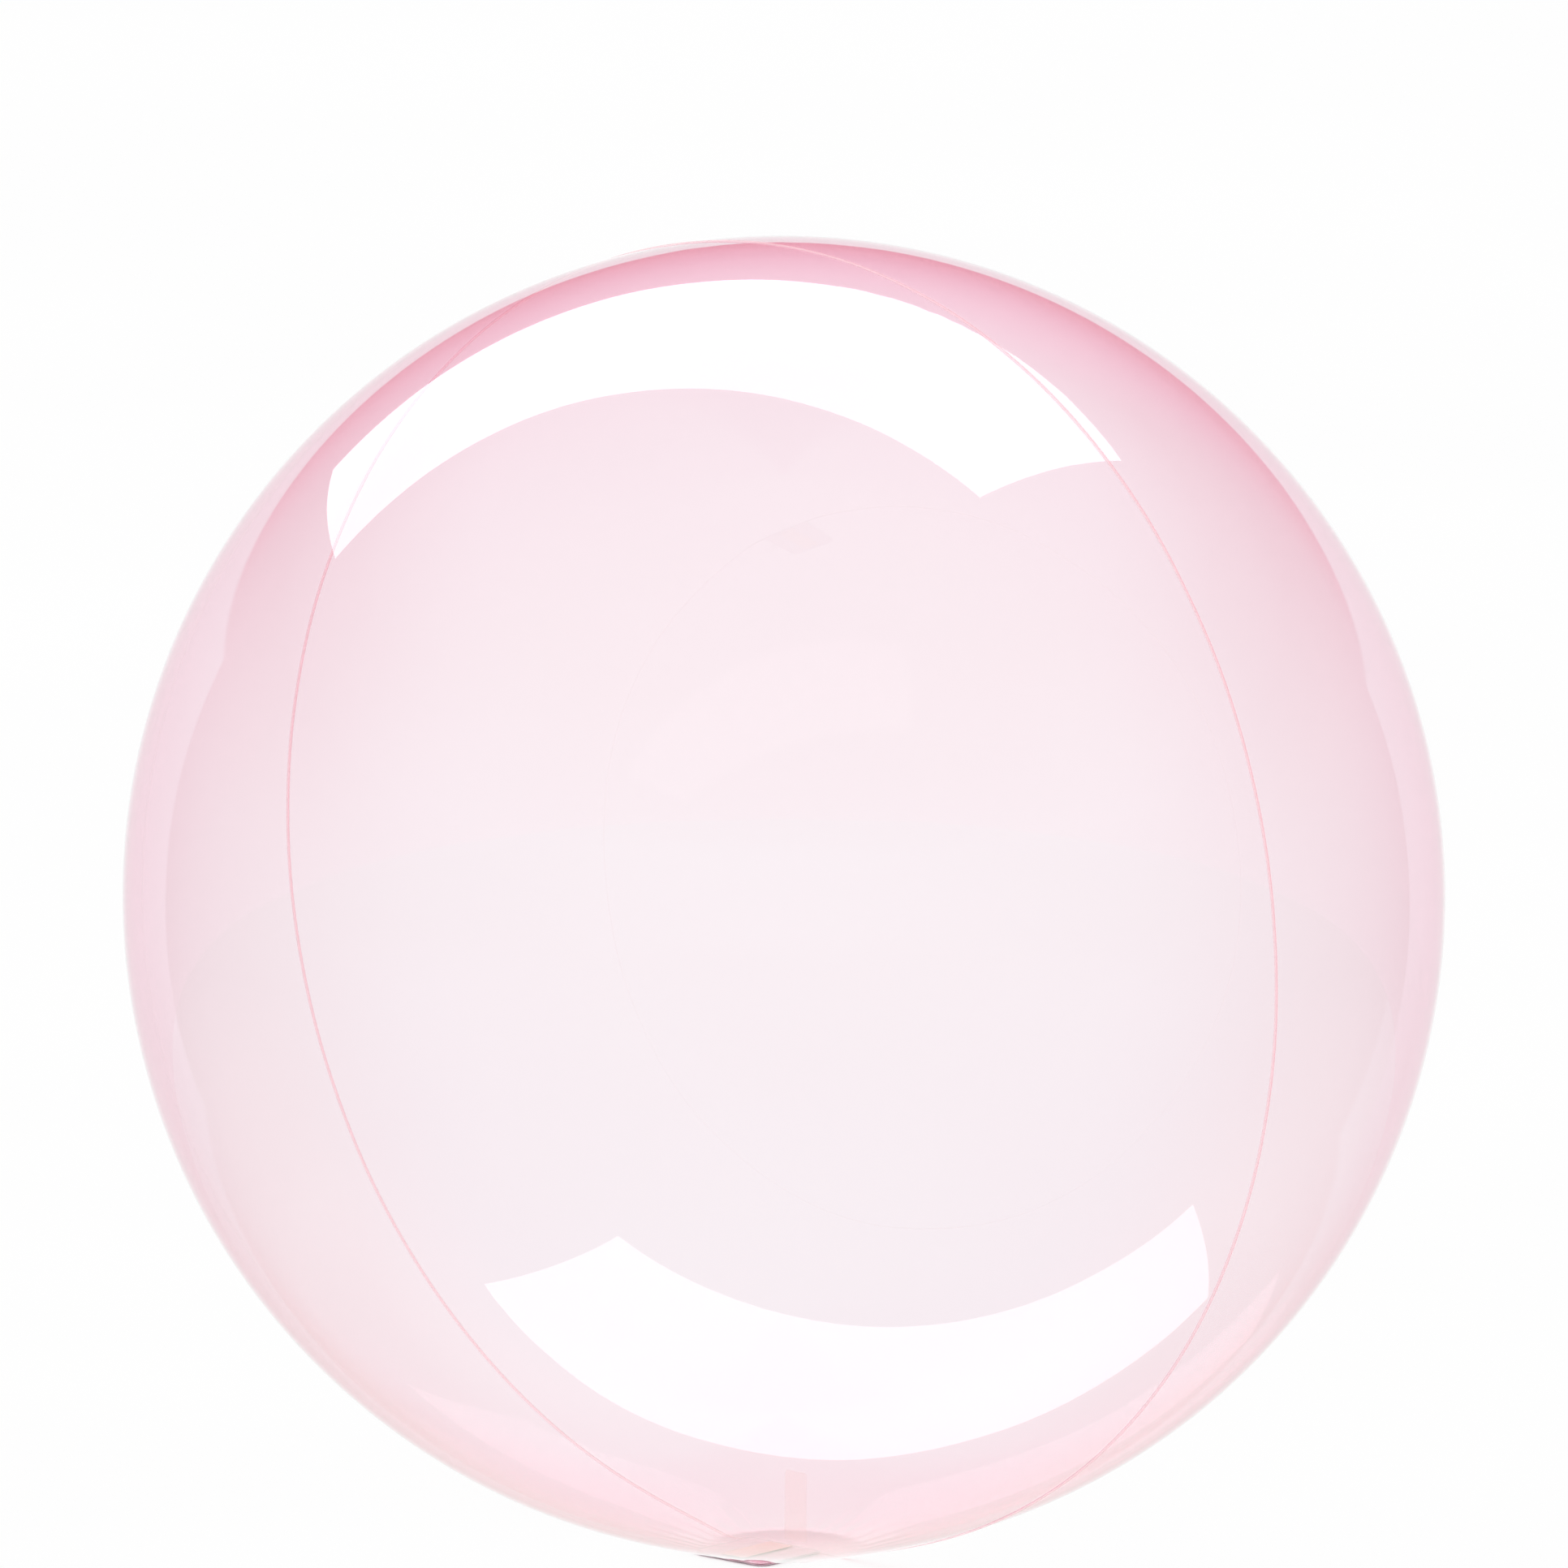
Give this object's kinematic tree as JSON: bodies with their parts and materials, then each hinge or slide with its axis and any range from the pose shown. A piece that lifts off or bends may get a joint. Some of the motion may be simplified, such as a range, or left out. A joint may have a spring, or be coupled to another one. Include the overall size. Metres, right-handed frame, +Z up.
{
  "type": "clear bubble balloon",
  "caption": "Inflated round balloon of clear pink stretch film, welded round a great circle, with its flat tail folded under the ball.",
  "frame": {"origin": "on the table, at the middle of the flat spot that the ball rests on", "axes": "+Z up through the top of the ball; the weld runs round in the XZ plane; the tail lies towards -Y"},
  "size_m": [0.5016, 0.5, 0.5018],
  "materials": {
    "clear_film": "clear pink stretch film, high gloss",
    "tail_film": "doubled pink film, gloss",
    "sleeve_film": "coral valve film, satin"
  },
  "bodies": {
    "root": {"envelope": "clear_film", "tail": "tail_film", "valve_sleeve": "sleeve_film"}
  },
  "joints": []
}
